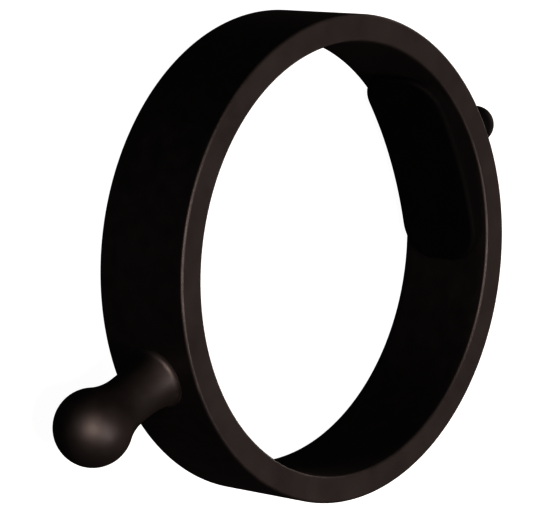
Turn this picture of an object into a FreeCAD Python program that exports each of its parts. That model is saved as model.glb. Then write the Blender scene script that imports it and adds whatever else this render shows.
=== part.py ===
import FreeCAD, Part
import math
import os

# Fence insulator: an insulating collar that slides over a round post. A ball-ended knob on
# its outside holds the wire off the post. A rubber pad on the bore's opposite side grips the
# post, and a small ball-ended stud holds the pad through the wall.
# Millimetres. Origin: on the bore's axis, half way up the band. +Z is the bore's axis, and
# +X points out through the wire knob. The pad and its stud are on the -X side.

# Band
BAND_OUTER_R = 25.0
BAND_WALL = 2.8
BAND_WIDTH = 11.25
RIM_EDGE_R = 0.3
BAND_INNER_R = BAND_OUTER_R - BAND_WALL

# Wire knob. Heights are measured outwards from the band's outer face.
KNOB_BALL_R = 3.87
KNOB_BALL_HEIGHT = 9.35
KNOB_WAIST_R = 2.57
KNOB_WAIST_HEIGHT = 4.2
KNOB_FLARE_HEIGHT = 3.4
KNOB_FLARE_R = 12.0
KNOB_FOOT_ARC_R = 0.7

# Pad stud, a smaller knob of the same form
STUD_BALL_R = 2.05
STUD_BALL_HEIGHT = 4.45
STUD_WAIST_R = 1.28
STUD_WAIST_HEIGHT = 2.0
STUD_FLARE_HEIGHT = 1.6
STUD_FLARE_R = 4.9
STUD_FOOT_ARC_R = 0.3
STUD_SHANK_R = 1.0
STUD_HOLE_CLEARANCE = 0.05
STUD_BARB_R = 1.7
STUD_BARB_TIP_R = 1.1
STUD_BARB_LENGTH = 0.9
STUD_BARB_DEPTH = 0.4

# Foot of a knob: how far its arc turns out towards the band, and its edge's least thickness
FOOT_TURN_DEG = 65.0
FOOT_EDGE = 0.05

# Screw that holds the knob, an M3 slotted countersunk screw in nylon
SCREW_R = 1.5
SCREW_HEAD_R = 2.8
SCREW_HEAD_RECESS = 0.1
SCREW_LENGTH = 8.0
SCREW_TIP_CHAMFER = 0.4
SCREW_HOLE_CLEARANCE = 0.1
SCREW_SLOT_WIDTH = 0.8
SCREW_SLOT_DEPTH = 0.7
KNOB_HOLE_SPARE = 0.3

# Grip pad
PAD_THICKNESS = 2.2
PAD_HALF_ANGLE_DEG = 29.4
PAD_WIDTH = 9.9
PAD_CORNER_R = 3.6
PAD_FACE_R = 40.0
PAD_EDGE_R = 0.5

# How far past a face a cutting tool reaches
CUT_MARGIN = 2.0

X_AXIS = FreeCAD.Vector(1, 0, 0)
Z_AXIS = FreeCAD.Vector(0, 0, 1)


def on_axis(x, r):
    """A point of a profile that is turned about the X axis."""
    return FreeCAD.Vector(x, 0, r)


def upright_cylinder(radius, height, x=0.0):
    """A cylinder along Z, centred on the part's mid-plane."""
    return Part.makeCylinder(radius, height, FreeCAD.Vector(x, 0, -height / 2), Z_AXIS)


def radial_cylinder(radius, start, end):
    """A cylinder along X, from x = start to x = end."""
    return Part.makeCylinder(radius, end - start, FreeCAD.Vector(start, 0, 0), X_AXIS)


def radial_cone(start_r, end_r, start, end):
    """A cone along X, from radius start_r at x = start to radius end_r at x = end."""
    return Part.makeCone(start_r, end_r, end - start, FreeCAD.Vector(start, 0, 0), X_AXIS)


def arc_through(centre_x, centre_r, radius, start, end, bulge):
    """The arc of a profile between two points, bulging outwards (1) or inwards (-1)."""
    middle_x = (start.x + end.x) / 2
    rise = math.sqrt(radius**2 - (middle_x - centre_x) ** 2)
    middle = on_axis(middle_x, centre_r + bulge * rise)
    return Part.Arc(start, middle, end).toShape()


def ball_knob(ball_r, ball_height, waist_r, waist_height, flare_height, flare_r, foot_arc_r):
    """A ball on a waisted neck, whose flared foot sits on the band's outer face."""
    ball_x = BAND_OUTER_R + ball_height
    waist_x = BAND_OUTER_R + waist_height
    flare_x = BAND_OUTER_R + flare_height
    reach = ball_height - waist_height

    # The neck's arc is tangent to the ball and narrowest at the waist.
    neck_arc_r = (reach**2 + waist_r**2 - ball_r**2) / (2 * (ball_r - waist_r))
    neck_centre_r = waist_r + neck_arc_r
    share = ball_r / (ball_r + neck_arc_r)
    tangent = on_axis(ball_x - reach * share, neck_centre_r * share)

    # The waist is straight down to the flare's arc. The foot's tighter arc is tangent to the
    # flare's, and ends at the foot's edge.
    foot_turn = math.radians(FOOT_TURN_DEG)
    foot_centre_x = BAND_OUTER_R + FOOT_EDGE + foot_arc_r * math.sin(foot_turn)
    flare_turn = math.asin((flare_x - foot_centre_x) / (flare_r - foot_arc_r))
    flare_centre_r = waist_r + flare_r
    foot_centre_r = flare_centre_r - (flare_r - foot_arc_r) * math.cos(flare_turn)
    flare_end = on_axis(
        flare_x - flare_r * math.sin(flare_turn),
        flare_centre_r - flare_r * math.cos(flare_turn),
    )
    foot_r = foot_centre_r - foot_arc_r * math.cos(foot_turn)

    base_centre = on_axis(BAND_INNER_R, 0)
    base = on_axis(BAND_INNER_R, foot_r)
    foot_edge = on_axis(BAND_OUTER_R + FOOT_EDGE, foot_r)
    flare_start = on_axis(flare_x, waist_r)
    waist = on_axis(waist_x, waist_r)
    top = on_axis(ball_x + ball_r, 0)
    outline = [
        Part.makeLine(base_centre, base),
        Part.makeLine(base, foot_edge),
        arc_through(foot_centre_x, foot_centre_r, foot_arc_r, foot_edge, flare_end, -1),
        arc_through(flare_x, flare_centre_r, flare_r, flare_end, flare_start, -1),
        Part.makeLine(flare_start, waist),
        arc_through(waist_x, neck_centre_r, neck_arc_r, waist, tangent, -1),
        arc_through(ball_x, 0, ball_r, tangent, top, 1),
        Part.makeLine(top, base_centre),
    ]
    turned = Part.Face(Part.Wire(outline)).revolve(FreeCAD.Vector(0, 0, 0), X_AXIS, 360)
    saddle = upright_cylinder(BAND_OUTER_R, 2 * BAND_WIDTH)
    return turned.cut(saddle)


def facing_minus_x(shape):
    """The shape turned half round the bore's axis."""
    turned = shape.copy()
    turned.rotate(FreeCAD.Vector(0, 0, 0), Z_AXIS, 180)
    return turned


def screw_head():
    """The screw's countersunk head, which also shapes its seat in the band."""
    face_x = BAND_INNER_R + SCREW_HEAD_RECESS
    return radial_cone(SCREW_HEAD_R, SCREW_R, face_x, face_x + SCREW_HEAD_R - SCREW_R)


def stud_shank():
    """The stud's shank and barb, on the +X side: through the wall and into the pad."""
    barb_x = BAND_INNER_R - STUD_BARB_DEPTH
    shank = radial_cylinder(STUD_SHANK_R, barb_x, BAND_OUTER_R + CUT_MARGIN / 2)
    barb = radial_cone(STUD_BARB_TIP_R, STUD_BARB_R, barb_x - STUD_BARB_LENGTH, barb_x)
    return shank.fuse(barb)


def post_band():
    """The collar, with its rims rounded, the screw's seat and the stud's hole."""
    outside = upright_cylinder(BAND_OUTER_R, BAND_WIDTH)
    bore = upright_cylinder(BAND_INNER_R, BAND_WIDTH)
    ring = outside.cut(bore)
    rims = [edge for edge in ring.Edges if isinstance(edge.Curve, Part.Circle)]
    ring = ring.makeFillet(RIM_EDGE_R, rims)
    beyond = BAND_OUTER_R + CUT_MARGIN
    inside = BAND_INNER_R - CUT_MARGIN
    screw_hole = radial_cylinder(SCREW_R + SCREW_HOLE_CLEARANCE, inside, beyond)
    head_recess = radial_cylinder(SCREW_HEAD_R, inside, BAND_INNER_R + SCREW_HEAD_RECESS)
    stud_hole = radial_cylinder(STUD_SHANK_R + STUD_HOLE_CLEARANCE, inside, beyond)
    return ring.cut([screw_hole, head_recess, screw_head(), facing_minus_x(stud_hole)])


def wire_knob():
    """The large ball-ended knob, with the blind hole that the screw cuts its thread in."""
    knob = ball_knob(
        KNOB_BALL_R,
        KNOB_BALL_HEIGHT,
        KNOB_WAIST_R,
        KNOB_WAIST_HEIGHT,
        KNOB_FLARE_HEIGHT,
        KNOB_FLARE_R,
        KNOB_FOOT_ARC_R,
    )
    hole_end = BAND_INNER_R + SCREW_HEAD_RECESS + SCREW_LENGTH + KNOB_HOLE_SPARE
    return knob.cut(radial_cylinder(SCREW_R, BAND_INNER_R, hole_end))


def knob_screw():
    """The countersunk screw, put in from the bore, with its slotted head under the wall."""
    face_x = BAND_INNER_R + SCREW_HEAD_RECESS
    tip_x = face_x + SCREW_LENGTH
    chamfer_x = tip_x - SCREW_TIP_CHAMFER
    shank = radial_cylinder(SCREW_R, face_x + SCREW_HEAD_R - SCREW_R, chamfer_x)
    tip = radial_cone(SCREW_R, SCREW_R - SCREW_TIP_CHAMFER, chamfer_x, tip_x)
    slot = Part.makeBox(
        CUT_MARGIN + SCREW_SLOT_DEPTH,
        2 * SCREW_HEAD_R,
        SCREW_SLOT_WIDTH,
        FreeCAD.Vector(face_x - CUT_MARGIN, -SCREW_HEAD_R, -SCREW_SLOT_WIDTH / 2),
    )
    return screw_head().fuse([shank, tip]).removeSplitter().cut(slot)


def pad_stud():
    """The small ball-ended stud, with the shank and barb that hold the pad."""
    knob = ball_knob(
        STUD_BALL_R,
        STUD_BALL_HEIGHT,
        STUD_WAIST_R,
        STUD_WAIST_HEIGHT,
        STUD_FLARE_HEIGHT,
        STUD_FLARE_R,
        STUD_FOOT_ARC_R,
    )
    return facing_minus_x(knob.fuse(stud_shank()).removeSplitter())


def pad_outline():
    """The pad's outline along the bore, a rectangle with round corners, as a face at x = 0."""
    half_length = BAND_INNER_R * math.sin(math.radians(PAD_HALF_ANGLE_DEG))
    box = Part.makeBox(
        BAND_INNER_R,
        2 * half_length,
        PAD_WIDTH,
        FreeCAD.Vector(0, -half_length, -PAD_WIDTH / 2),
    )
    corners = [edge for edge in box.Edges if abs(edge.tangentAt(0).x) > 0.5]
    return box.makeFillet(PAD_CORNER_R, corners)


def grip_pad():
    """The rubber pad: its back fits the bore's wall, and its face is a flatter hollow."""
    blank = pad_outline().common(upright_cylinder(BAND_INNER_R, 2 * BAND_WIDTH))
    face_axis_x = BAND_INNER_R - PAD_THICKNESS - PAD_FACE_R
    hollow = upright_cylinder(PAD_FACE_R, 2 * BAND_WIDTH, face_axis_x)
    pad = blank.cut(hollow)
    rim = [edge for edge in pad.Edges if on_pad_face(edge, face_axis_x)]
    pad = pad.makeFillet(PAD_EDGE_R, rim)
    return facing_minus_x(pad.cut(stud_shank()))


def on_pad_face(edge, face_axis_x):
    """Whether an edge lies on the pad's hollow face."""
    ends = [edge.valueAt(edge.FirstParameter), edge.valueAt(edge.LastParameter)]
    return all(abs(math.hypot(p.x - face_axis_x, p.y) - PAD_FACE_R) < 1e-4 for p in ends)


NODES = {
    "post_band": post_band,
    "wire_knob": wire_knob,
    "knob_screw": knob_screw,
    "pad_stud": pad_stud,
    "grip_pad": grip_pad,
}


def main():
    os.makedirs("parts", exist_ok=True)
    for name, build in NODES.items():
        shape = build()
        print(name, "valid", shape.isValid(), "solids", len(shape.Solids), round(shape.Volume, 1))
        shape.exportStep(f"parts/{name}.step")


main()
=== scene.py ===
import math

import bmesh
import bpy
from mathutils import Matrix, Vector


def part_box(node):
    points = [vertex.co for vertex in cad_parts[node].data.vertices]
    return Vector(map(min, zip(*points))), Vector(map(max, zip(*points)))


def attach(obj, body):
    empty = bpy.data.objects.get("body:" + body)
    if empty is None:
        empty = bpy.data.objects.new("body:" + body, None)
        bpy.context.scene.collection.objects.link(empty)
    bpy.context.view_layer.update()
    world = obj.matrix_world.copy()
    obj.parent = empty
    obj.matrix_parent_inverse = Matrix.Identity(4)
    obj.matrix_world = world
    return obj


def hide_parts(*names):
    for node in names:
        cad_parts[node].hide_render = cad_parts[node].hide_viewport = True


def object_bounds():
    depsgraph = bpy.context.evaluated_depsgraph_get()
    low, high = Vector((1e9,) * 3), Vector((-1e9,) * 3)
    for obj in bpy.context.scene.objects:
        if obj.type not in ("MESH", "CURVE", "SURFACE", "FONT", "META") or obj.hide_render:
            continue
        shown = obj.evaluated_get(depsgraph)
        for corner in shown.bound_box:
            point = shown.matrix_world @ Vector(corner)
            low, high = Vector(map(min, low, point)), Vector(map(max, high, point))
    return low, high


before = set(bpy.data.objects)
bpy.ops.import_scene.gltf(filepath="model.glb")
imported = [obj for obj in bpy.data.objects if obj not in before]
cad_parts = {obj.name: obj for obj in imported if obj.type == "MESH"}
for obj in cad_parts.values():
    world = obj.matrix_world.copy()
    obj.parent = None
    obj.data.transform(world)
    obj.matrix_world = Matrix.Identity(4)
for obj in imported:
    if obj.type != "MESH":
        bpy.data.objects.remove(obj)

# A fence insulator: a collar for an upright round post, with a ball-ended wire knob outside
# and a rubber grip pad inside. Metres. +Z is the bore's axis, and +X points out through the
# knob. Positions come from the CAD frame.

cad_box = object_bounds()
MM = 0.001
KNOB_SIDE = 1
PAD_SIDE = -1

# Band, from its box and the pad's, whose back lies on the bore's wall
BAND_OUTER_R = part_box("post_band")[1].x
BAND_HALF_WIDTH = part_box("post_band")[1].z
BAND_INNER_R = -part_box("grip_pad")[0].x
BAND_SEGMENTS = 288
RIM_EDGE_R = 0.3 * MM
RIM_EDGE_STEPS = 7

# Wire knob and pad stud. The ball and the tip come from the node's box. Heights are measured
# outwards from the band's outer face.
KNOB_BALL_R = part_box("wire_knob")[1].z
KNOB_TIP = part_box("wire_knob")[1].x
KNOB_WAIST_R = 2.57 * MM
KNOB_WAIST_HEIGHT = 4.2 * MM
KNOB_FLARE_HEIGHT = 3.4 * MM
KNOB_FLARE_R = 12.0 * MM
KNOB_FOOT_ARC_R = 0.7 * MM
KNOB_HOLE_SPARE = 0.3 * MM
KNOB_HOLE_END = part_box("knob_screw")[1].x + KNOB_HOLE_SPARE
STUD_BALL_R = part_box("pad_stud")[1].z
STUD_TIP = -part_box("pad_stud")[0].x
STUD_WAIST_R = 1.28 * MM
STUD_WAIST_HEIGHT = 2.0 * MM
STUD_FLARE_HEIGHT = 1.6 * MM
STUD_FLARE_R = 4.9 * MM
STUD_FOOT_ARC_R = 0.3 * MM
STUD_SHANK_R = 1.0 * MM
STUD_HOLE_R = 1.05 * MM
STUD_BARB_R = 1.7 * MM
STUD_BARB_TIP_R = 1.1 * MM
STUD_BARB_DEPTH = 0.4 * MM
STUD_BARB_BASE = BAND_INNER_R - STUD_BARB_DEPTH
STUD_BARB_TIP = -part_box("pad_stud")[1].x

# Foot of a knob: how far its arc turns out towards the band, and its edge's least thickness
FOOT_TURN = math.radians(65)
FOOT_EDGE = 0.05 * MM

# How finely a shape turned about the X axis is divided, round it and along each of its parts
KNOB_COLUMNS = 96
BALL_STEPS = 28
NECK_STEPS = 18
FOOT_STEPS = 10
SADDLE_STEPS = 5

# Screw, and its seat in the band. The screw itself is the CAD node.
SCREW_R = 1.5 * MM
SCREW_HEAD_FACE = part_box("knob_screw")[0].x
SCREW_HEAD_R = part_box("knob_screw")[1].z
SCREW_HOLE_R = 1.6 * MM

# Grip pad. Its length and width come from its box. PAD_BACK_END is the share of the outline at
# which the back's rings end and the pocket starts.
PAD_HALF_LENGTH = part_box("grip_pad")[1].y
PAD_HALF_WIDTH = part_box("grip_pad")[1].z
PAD_THICKNESS = 2.2 * MM
PAD_FACE_R = 40.0 * MM
PAD_CORNER_R = 3.6 * MM
PAD_EDGE_R = 0.5 * MM
PAD_CORNER_STEPS = 14
PAD_EDGE_STEPS = 7
PAD_FACE_RINGS = 8
PAD_BACK_RINGS = 7
PAD_BACK_END = 0.3

# Meshes: where smooth shading breaks, how near two points are to be one, how far apart the
# points of a straight run are, and how far a cutter reaches past a face
SMOOTH_ANGLE = math.radians(32)
WELD_GAP = 0.0005 * MM
GRID = 0.9 * MM
CUT_MARGIN = 1.0 * MM

# Floor: its flat disc, the bend round it, the backdrop's height and its segments
FLOOR_FLAT_R = 1.2
FLOOR_BEND_R = 0.8
FLOOR_HEIGHT = 2.5
FLOOR_RINGS = 6
FLOOR_BEND_STEPS = 16
FLOOR_SEGMENTS = 96
FLOOR_GREY = 0.35
FLOOR_GLOW = 0.68

# Camera: where it stands round the object, its roll, its distance and lens, and where the
# band's centre falls in the picture
CAMERA_AZIMUTH = math.radians(56.35)
CAMERA_ELEVATION = math.radians(41.54)
CAMERA_ROLL = math.radians(-96.94)
CAMERA_DISTANCE = 0.3154
CAMERA_LENS = 196.8
CENTRE_RIGHT = 3.15 * MM
CENTRE_UP = 0.16 * MM


# ---------------------------------------------------------------- meshes


def upright_ring(radius, z, count):
    """Points of a circle about the Z axis."""
    turns = [2 * math.pi * i / count for i in range(count)]
    return [(radius * math.cos(t), radius * math.sin(t), z) for t in turns]


def add_walls(mesh, rows):
    """Faces between each row of vertices and the next."""
    count = len(rows[0])
    for lower, upper in zip(rows, rows[1:]):
        for i in range(count):
            j = (i + 1) % count
            mesh.faces.new((lower[i], lower[j], upper[j], upper[i]))


def skin(name, rings, closed=False):
    """A mesh through rings of points. Open ends are closed with a fan to their middle, and
    a ring whose points are all in one place becomes a single point."""
    mesh = bmesh.new()
    rows = [[mesh.verts.new(point) for point in ring] for ring in rings]
    count = len(rows[0])
    add_walls(mesh, rows + rows[:1] if closed else rows)
    if not closed:
        for row in (rows[0], rows[-1]):
            middle = sum((vert.co for vert in row), Vector()) / count
            centre = mesh.verts.new(middle)
            for i in range(count):
                mesh.faces.new((row[i], row[(i + 1) % count], centre))
    bmesh.ops.remove_doubles(mesh, verts=mesh.verts, dist=WELD_GAP)
    bmesh.ops.recalc_face_normals(mesh, faces=mesh.faces)
    data = bpy.data.meshes.new(name)
    mesh.to_mesh(data)
    mesh.free()
    piece = bpy.data.objects.new(name, data)
    bpy.context.scene.collection.objects.link(piece)
    return piece


def smooth(piece):
    """Smooth shading, apart from real corners. Large faces keep their own normals, so a flat
    rim stays flat up to its rounded edge."""
    piece.data.shade_smooth()
    piece.data.set_sharp_from_angle(angle=SMOOTH_ANGLE)
    normals = piece.modifiers.new("normals", "WEIGHTED_NORMAL")
    normals.keep_sharp = True


def cut(piece, cutter):
    """Cuts one mesh from another and removes the cutter."""
    modifier = piece.modifiers.new("cut", "BOOLEAN")
    modifier.operation = "DIFFERENCE"
    modifier.solver = "EXACT"
    modifier.object = cutter
    graph = bpy.context.evaluated_depsgraph_get()
    result = bpy.data.meshes.new_from_object(piece.evaluated_get(graph))
    mesh = bmesh.new()
    mesh.from_mesh(result)
    bmesh.ops.remove_doubles(mesh, verts=mesh.verts, dist=WELD_GAP)
    bmesh.ops.dissolve_degenerate(mesh, edges=mesh.edges, dist=WELD_GAP)
    mesh.to_mesh(result)
    mesh.free()
    piece.modifiers.clear()
    piece.data = result
    bpy.data.objects.remove(cutter)


def turned(name, profile, side):
    """A shape turned about the X axis. profile(angle) gives its (x, r) points there, so an
    end can follow the band's curve. side 1 puts it on the +X side, and -1 on the -X side."""
    angles = [2 * math.pi * i / KNOB_COLUMNS for i in range(KNOB_COLUMNS)]
    rings = [
        [(side * x, r * math.cos(a), r * math.sin(a)) for a, (x, r) in zip(angles, points)]
        for points in zip(*(profile(angle) for angle in angles))
    ]
    return skin(name, rings)


def on_cylinder(radius, y):
    """How far out a cylinder about the Z axis is, at a distance y from its middle."""
    return math.sqrt(radius**2 - y**2)


def steps(start, end, count):
    """Evenly spaced values from start to end, both included."""
    return [start + (end - start) * i / count for i in range(count + 1)]


def quarter_turn(start, count):
    """The angles of a quarter turn from start degrees on."""
    return [math.radians(turn) for turn in steps(start, start + 90, count)]


def joined(arcs):
    """A closed outline of arcs joined by straight runs, with points about GRID apart."""
    points = []
    for arc, following in zip(arcs, arcs[1:] + arcs[:1]):
        start, end = arc[-1], following[0]
        count = round(math.dist(start, end) / GRID)
        points += arc
        for share in steps(0, 1, count)[1:-1]:
            points.append(tuple(a + (b - a) * share for a, b in zip(start, end)))
    return points


def ball_knob_outline(tip, ball_r, waist_r, waist_height, flare_height, flare_r, foot_arc_r):
    """The outline of a ball on a waisted neck, as a function of the angle round the neck:
    from the tip, over the ball, the neck and the foot's arc, to where it meets the band."""
    ball_x = tip - ball_r
    waist_x = BAND_OUTER_R + waist_height
    reach = ball_x - waist_x
    neck_arc_r = (reach**2 + waist_r**2 - ball_r**2) / (2 * (ball_r - waist_r))
    tangent_x = ball_x - reach * ball_r / (ball_r + neck_arc_r)
    tangent_angle = math.acos((tangent_x - ball_x) / ball_r)
    flare_x = BAND_OUTER_R + flare_height
    foot_x = BAND_OUTER_R + FOOT_EDGE + foot_arc_r * math.sin(FOOT_TURN)
    flare_turn = math.asin((flare_x - foot_x) / (flare_r - foot_arc_r))
    foot_centre_r = waist_r + flare_r - (flare_r - foot_arc_r) * math.cos(flare_turn)

    def hollow_arc(x, centre_r, radius, turns):
        """Points of an arc whose middle is outside the outline, at (x, centre_r)."""
        return [(x - radius * math.sin(t), centre_r - radius * math.cos(t)) for t in turns]

    ball_turns = steps(0, tangent_angle, BALL_STEPS)
    neck_turns = steps(math.asin((waist_x - tangent_x) / neck_arc_r), 0, NECK_STEPS)
    flare_turns = steps(0, flare_turn, NECK_STEPS)
    foot_turns = steps(flare_turn, FOOT_TURN, FOOT_STEPS)
    turned_line = [(ball_x + ball_r * math.cos(t), ball_r * math.sin(t)) for t in ball_turns]
    turned_line += hollow_arc(waist_x, waist_r + neck_arc_r, neck_arc_r, neck_turns)[1:]
    turned_line += hollow_arc(flare_x, waist_r + flare_r, flare_r, flare_turns)
    turned_line += hollow_arc(foot_x, foot_centre_r, foot_arc_r, foot_turns)[1:]
    foot_r = turned_line[-1][1]

    def outline(angle):
        return turned_line + [(on_cylinder(BAND_OUTER_R, foot_r * math.cos(angle)), foot_r)]

    return outline


def saddle(outline, hole_r, angle):
    """An outline, carried on under the foot, along the band's face, to a hole's edge."""
    points = outline(angle)
    foot_r = points[-1][1]
    under = steps(foot_r, hole_r, SADDLE_STEPS)[1:]
    return points + [(on_cylinder(BAND_OUTER_R, r * math.cos(angle)), r) for r in under]


# ---------------------------------------------------------------- pieces


def rim_section():
    """The band's section as (radius, z) points, round each of its four rounded corners."""
    arcs = []
    corners = (
        (BAND_OUTER_R, BAND_HALF_WIDTH, 0),
        (BAND_INNER_R, BAND_HALF_WIDTH, 90),
        (BAND_INNER_R, -BAND_HALF_WIDTH, 180),
        (BAND_OUTER_R, -BAND_HALF_WIDTH, 270),
    )
    middle_r = (BAND_OUTER_R + BAND_INNER_R) / 2
    for radius, z, start in corners:
        in_r = radius - math.copysign(RIM_EDGE_R, radius - middle_r)
        in_z = z - math.copysign(RIM_EDGE_R, z)
        arcs.append([
            (in_r + RIM_EDGE_R * math.cos(t), in_z + RIM_EDGE_R * math.sin(t))
            for t in quarter_turn(start, RIM_EDGE_STEPS)
        ])
    return joined(arcs)


def post_band():
    """The collar, with the screw's seat and the stud's hole cut through its wall."""
    rings = [upright_ring(radius, z, BAND_SEGMENTS) for radius, z in rim_section()]
    band = skin("band", rings, closed=True)
    head_depth = SCREW_HEAD_R - SCREW_R
    seat = [
        (BAND_INNER_R - CUT_MARGIN, SCREW_HEAD_R),
        (SCREW_HEAD_FACE, SCREW_HEAD_R),
        (SCREW_HEAD_FACE + head_depth - (SCREW_HOLE_R - SCREW_R), SCREW_HOLE_R),
        (BAND_OUTER_R + CUT_MARGIN, SCREW_HOLE_R),
    ]
    cut(band, turned("seat", lambda angle: seat, KNOB_SIDE))
    hole = [
        (BAND_INNER_R - CUT_MARGIN, STUD_HOLE_R),
        (BAND_OUTER_R + CUT_MARGIN, STUD_HOLE_R),
    ]
    cut(band, turned("hole", lambda angle: hole, PAD_SIDE))
    return band


def wire_knob():
    """The large knob, with the blind hole for its screw."""
    outline = ball_knob_outline(
        KNOB_TIP, KNOB_BALL_R, KNOB_WAIST_R, KNOB_WAIST_HEIGHT,
        KNOB_FLARE_HEIGHT, KNOB_FLARE_R, KNOB_FOOT_ARC_R,
    )

    def profile(angle):
        return saddle(outline, SCREW_R, angle) + [(KNOB_HOLE_END, SCREW_R)]

    return turned("knob", profile, KNOB_SIDE)


def stud_barb():
    """The stud's shank and barb as (x, r) points, from the band's hole into the pad."""
    return [
        (STUD_BARB_BASE, STUD_SHANK_R),
        (STUD_BARB_BASE, STUD_BARB_R),
        (STUD_BARB_TIP, STUD_BARB_TIP_R),
    ]


def pad_stud():
    """The small knob, with its shank through the wall and its barb in the pad."""
    outline = ball_knob_outline(
        STUD_TIP, STUD_BALL_R, STUD_WAIST_R, STUD_WAIST_HEIGHT,
        STUD_FLARE_HEIGHT, STUD_FLARE_R, STUD_FOOT_ARC_R,
    )

    def profile(angle):
        return saddle(outline, STUD_SHANK_R, angle) + stud_barb()

    return turned("stud", profile, PAD_SIDE)


def pad_outline(inset):
    """The pad's outline as (y, z) points, drawn in by inset all round."""
    corner = PAD_CORNER_R - inset
    long_half = PAD_HALF_LENGTH - PAD_CORNER_R
    short_half = PAD_HALF_WIDTH - PAD_CORNER_R
    arcs = []
    for y_sign, z_sign, start in ((1, 1, 0), (-1, 1, 90), (-1, -1, 180), (1, -1, 270)):
        y, z = y_sign * long_half, z_sign * short_half
        arcs.append([
            (y + corner * math.cos(t), z + corner * math.sin(t))
            for t in quarter_turn(start, PAD_CORNER_STEPS)
        ])
    return joined(arcs)


def pad_face(y):
    """How far the pad's hollow face is from the bore's axis, along -X."""
    return on_cylinder(PAD_FACE_R, y) + BAND_INNER_R - PAD_THICKNESS - PAD_FACE_R


def grip_pad():
    """The rubber pad: its face, its rounded edge, its back on the wall and its pocket."""
    rings = []
    inner = pad_outline(PAD_EDGE_R)
    for k in range(1, PAD_FACE_RINGS + 1):
        share = k / PAD_FACE_RINGS
        rings.append([(-pad_face(y * share), y * share, z * share) for y, z in inner])
    for t in steps(0, math.pi / 2, PAD_EDGE_STEPS)[1:]:
        inset = PAD_EDGE_R * (1 - math.sin(t))
        drop = PAD_EDGE_R * (1 - math.cos(t))
        rings.append([(-pad_face(y) - drop, y, z) for y, z in pad_outline(inset)])
    back = pad_outline(0)
    rings.append([(-on_cylinder(BAND_INNER_R, y), y, z) for y, z in back])
    for share in steps(1, PAD_BACK_END, PAD_BACK_RINGS)[1:]:
        rings.append([
            (-on_cylinder(BAND_INNER_R, y * share), y * share, z * share) for y, z in back
        ])
    pocket = [(BAND_INNER_R, STUD_SHANK_R)] + stud_barb()
    for x, r in pocket:
        ring = []
        for y, z in back:
            t = math.atan2(z, y)
            depth = on_cylinder(x, r * math.cos(t)) if x == BAND_INNER_R else x
            ring.append((-depth, r * math.cos(t), r * math.sin(t)))
        rings.append(ring)
    return skin("pad", rings)


# ---------------------------------------------------------------- materials


BLACK = (0.024, 0.019, 0.0174)
WARM_BLACK = (0.032, 0.026, 0.0238)
# Paler colours for convex edges: partly rubbed wear, partly a painted highlight along the rims
BAND_WEAR_AND_SHEEN = (0.07, 0.056, 0.05)
KNOB_WEAR_AND_SHEEN = (0.05, 0.04, 0.036)
STUD_BLACK = (0.006, 0.0055, 0.0055)
STUD_GREY = (0.01, 0.0093, 0.0093)
STUD_WEAR_AND_SHEEN = (0.025, 0.022, 0.022)
NYLON_BLACK = (0.02, 0.02, 0.02)
NYLON_GREY = (0.028, 0.027, 0.026)
NYLON_WEAR_AND_SHEEN = (0.05, 0.05, 0.05)
RUBBER_BLACK = (0.003, 0.0028, 0.0028)
RUBBER_BLOOM = (0.005, 0.0046, 0.0046)


def new_material(name):
    """A material and short ways to add nodes and links to it."""
    material = bpy.data.materials.new(name)
    material.use_nodes = True
    tree = material.node_tree
    shader = tree.nodes["Principled BSDF"]

    def add(kind, **values):
        node = tree.nodes.new(kind)
        for key, value in values.items():
            if key in node.inputs:
                node.inputs[key].default_value = value
            else:
                setattr(node, key, value)
        return node

    return material, shader, add, tree.links.new


def noise(add, link, coordinates, scale, detail):
    """Cloudy noise over the given coordinates, in waves of about 1 / scale metres."""
    node = add("ShaderNodeTexNoise", Scale=scale, Detail=detail)
    link(coordinates, node.inputs["Vector"])
    return node.outputs["Fac"]


def remap(add, link, source, low, high, to_low, to_high):
    """A value from low to high, stretched to go from to_low to to_high."""
    limits = {"From Min": low, "From Max": high, "To Min": to_low, "To Max": to_high}
    node = add("ShaderNodeMapRange", **limits)
    link(source, node.inputs["Value"])
    return node.outputs["Result"]


def blend_colours(add, link, share, first, second):
    """A mix of two colours, each a tuple or another node's output."""
    node = add("ShaderNodeMix", data_type="RGBA")
    factor, colour_a, colour_b = (node.inputs[i] for i in (0, 6, 7))
    link(share, factor)
    for socket, colour in ((colour_a, first), (colour_b, second)):
        if isinstance(colour, tuple):
            socket.default_value = (*colour, 1)
        else:
            link(colour, socket)
    return node.outputs[2]


def moulded_plastic(name, dark, light, roughness, specular, wear_and_sheen):
    """Moulded plastic: a fine grain, cloudy colour and gloss, and convex edges painted paler,
    partly as rubbed wear and partly as a painted highlight along the rims.
    """
    material, shader, add, link = new_material(name)
    coordinates = add("ShaderNodeTexCoord").outputs["Object"]
    cloud = noise(add, link, coordinates, scale=160, detail=4)
    grain = noise(add, link, coordinates, scale=9000, detail=2)
    smear = noise(add, link, coordinates, scale=600, detail=5)
    colour = blend_colours(add, link, remap(add, link, cloud, 0.35, 0.65, 0, 1), dark, light)
    # Convex edges, found by pointiness, turn paler: partly rubbed wear, partly a painted
    # highlight along the rims
    edges = add("ShaderNodeNewGeometry").outputs["Pointiness"]
    wear_and_sheen_mask = remap(add, link, edges, 0.52, 0.62, 0, 1)
    patchy_wear_and_sheen = add("ShaderNodeMath", operation="MULTIPLY")
    link(wear_and_sheen_mask, patchy_wear_and_sheen.inputs[0])
    link(remap(add, link, smear, 0.35, 0.6, 0.35, 1), patchy_wear_and_sheen.inputs[1])
    colour = blend_colours(add, link, patchy_wear_and_sheen.outputs[0], colour, wear_and_sheen)
    link(colour, shader.inputs["Base Color"])
    gloss = remap(add, link, smear, 0.3, 0.7, roughness - 0.04, roughness + 0.05)
    link(gloss, shader.inputs["Roughness"])
    shader.inputs["Specular IOR Level"].default_value = specular
    bump = add("ShaderNodeBump", Strength=0.35, Distance=0.004 * MM)
    link(grain, bump.inputs["Height"])
    link(bump.outputs["Normal"], shader.inputs["Normal"])
    return material


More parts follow.
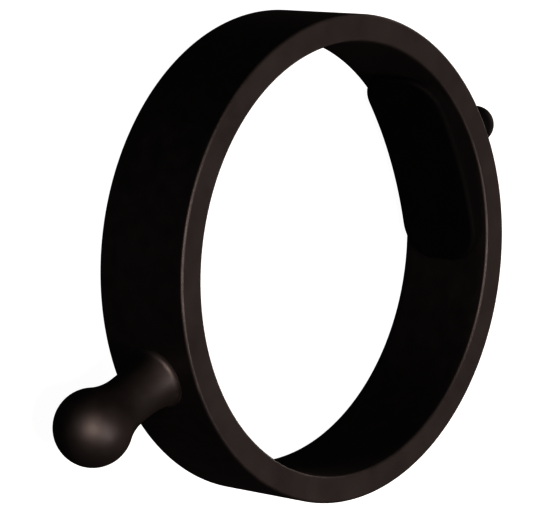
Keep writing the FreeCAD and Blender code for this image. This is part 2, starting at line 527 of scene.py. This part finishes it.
def rubber(name):
    """Matte black rubber with a faint leathery grain and a dusty bloom."""
    material, shader, add, link = new_material(name)
    coordinates = add("ShaderNodeTexCoord").outputs["Object"]
    bloom = noise(add, link, coordinates, scale=300, detail=5)
    grain = noise(add, link, coordinates, scale=3500, detail=3)
    share = remap(add, link, bloom, 0.4, 0.7, 0, 1)
    colour = blend_colours(add, link, share, RUBBER_BLACK, RUBBER_BLOOM)
    link(colour, shader.inputs["Base Color"])
    link(remap(add, link, bloom, 0.3, 0.7, 0.7, 0.85), shader.inputs["Roughness"])
    shader.inputs["Specular IOR Level"].default_value = 0.12
    bump = add("ShaderNodeBump", Strength=0.5, Distance=0.02 * MM)
    link(grain, bump.inputs["Height"])
    link(bump.outputs["Normal"], shader.inputs["Normal"])
    return material


# ---------------------------------------------------------------- camera, light and floor

WARM_WHITE = (1.0, 0.90, 0.86)
WORLD_GREY = 0.012


def camera():
    """The camera, with the band's centre CENTRE_RIGHT and CENTRE_UP of the picture's middle."""
    level = math.cos(CAMERA_ELEVATION)
    back = Vector((
        math.sin(CAMERA_AZIMUTH) * level,
        -math.cos(CAMERA_AZIMUTH) * level,
        math.sin(CAMERA_ELEVATION),
    ))
    level_right = Vector((0, 0, 1)).cross(back).normalized()
    level_up = back.cross(level_right)
    up = level_up * math.cos(CAMERA_ROLL) + level_right * math.sin(CAMERA_ROLL)
    right = up.cross(back)
    data = bpy.data.cameras.new("camera")
    data.lens = CAMERA_LENS
    data.clip_start = 0.01
    data.clip_end = 20
    view = bpy.data.objects.new("camera", data)
    bpy.context.scene.collection.objects.link(view)
    location = back * CAMERA_DISTANCE - right * CENTRE_RIGHT - up * CENTRE_UP
    axes = Matrix((right, up, back)).transposed()
    view.matrix_world = Matrix.Translation(location) @ axes.to_4x4()
    bpy.context.scene.camera = view


def softbox(name, direction, distance, size, power, colour):
    """A soft area light that faces the object from the given direction. size is its width
    and height."""
    data = bpy.data.lights.new(name, "AREA")
    data.shape = "RECTANGLE"
    data.size, data.size_y = size
    data.energy = power
    data.color = colour
    light = bpy.data.objects.new(name, data)
    bpy.context.scene.collection.objects.link(light)
    away = Vector(direction).normalized()
    light.location = away * distance
    light.rotation_euler = away.to_track_quat("Z", "Y").to_euler()
    light.visible_camera = False
    return light


def lights():
    """Soft studio light: a key from the camera's side, one from above, a low strip and a
    fill behind, which light the far walls and leave the near ones dark, and a weak one in
    front. The key and the front light only show as gloss, and the fill never does."""
    key = softbox("key", (0.62, -0.415, 0.665), 0.5, (0.30, 0.30), 2.7, (1.0, 0.80, 0.73))
    key.visible_diffuse = False
    softbox("top", (0.12, 0.12, 0.985), 0.6, (0.25, 0.25), 2.05, (1.0, 0.86, 0.82))
    softbox("back", (-0.95, 0.30, 0.08), 0.9, (0.90, 0.10), 1.6, WARM_WHITE)
    fill = softbox("fill", (-0.92, 0.29, 0.26), 0.9, (0.90, 0.10), 7.0, WARM_WHITE)
    fill.visible_glossy = False
    front = softbox("front", (0.82, -0.55, 0.17), 0.8, (0.35, 0.35), 0.3, WARM_WHITE)
    front.visible_diffuse = False
    world = bpy.data.worlds.new("world")
    world.use_nodes = True
    background = world.node_tree.nodes["Background"]
    background.inputs["Color"].default_value = (WORLD_GREY, WORLD_GREY, WORLD_GREY, 1)
    scene = bpy.context.scene
    scene.world = world
    scene.view_settings.view_transform = "Standard"
    scene.view_settings.look = "High Contrast"


def floor():
    """A pale floor that curves up all round into a backdrop."""
    level = cad_box[0].z
    outline = [(radius, level) for radius in steps(0, FLOOR_FLAT_R, FLOOR_RINGS)[1:]]
    for t in steps(0, math.pi / 2, FLOOR_BEND_STEPS)[1:]:
        radius = FLOOR_FLAT_R + FLOOR_BEND_R * math.sin(t)
        outline.append((radius, level + FLOOR_BEND_R * (1 - math.cos(t))))
    outline.append((FLOOR_FLAT_R + FLOOR_BEND_R, level + FLOOR_HEIGHT))
    mesh = bmesh.new()
    rows = [
        [mesh.verts.new(point) for point in upright_ring(radius, z, FLOOR_SEGMENTS)]
        for radius, z in outline
    ]
    add_walls(mesh, rows)
    mesh.faces.new(rows[0])
    bmesh.ops.recalc_face_normals(mesh, faces=mesh.faces)
    data = bpy.data.meshes.new("floor")
    mesh.to_mesh(data)
    mesh.free()
    data.shade_smooth()
    stage = bpy.data.objects.new("floor", data)
    bpy.context.scene.collection.objects.link(stage)
    stage.visible_glossy = False
    stage.visible_diffuse = False
    material, shader = new_material("floor_white")[:2]
    shader.inputs["Base Color"].default_value = (FLOOR_GREY, FLOOR_GREY, FLOOR_GREY, 1)
    shader.inputs["Roughness"].default_value = 1
    shader.inputs["Specular IOR Level"].default_value = 0
    shader.inputs["Emission Color"].default_value = (1, 1, 1, 1)
    shader.inputs["Emission Strength"].default_value = FLOOR_GLOW
    data.materials.append(material)


# ---------------------------------------------------------------- assembly


def place(piece, node, material):
    """Finishes a piece, and lets it stand for its CAD node."""
    smooth(piece)
    piece.data.materials.clear()
    piece.data.materials.append(material)
    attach(piece, "root")
    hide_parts(node)


camera()
lights()
floor()

band_plastic = moulded_plastic("band_plastic", BLACK, WARM_BLACK, 0.5, 0.5, BAND_WEAR_AND_SHEEN)
knob_plastic = moulded_plastic("knob_plastic", BLACK, WARM_BLACK, 0.52, 0.5, KNOB_WEAR_AND_SHEEN)
stud_plastic = moulded_plastic("stud_plastic", STUD_BLACK, STUD_GREY, 0.58, 0.08, STUD_WEAR_AND_SHEEN)
screw_nylon = moulded_plastic("screw_nylon", NYLON_BLACK, NYLON_GREY, 0.38, 0.4, NYLON_WEAR_AND_SHEEN)
pad_rubber = rubber("pad_rubber")
place(post_band(), "post_band", band_plastic)
place(wire_knob(), "wire_knob", knob_plastic)
place(pad_stud(), "pad_stud", stud_plastic)
place(grip_pad(), "grip_pad", pad_rubber)
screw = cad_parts["knob_screw"]
screw.data.materials.clear()
screw.data.materials.append(screw_nylon)
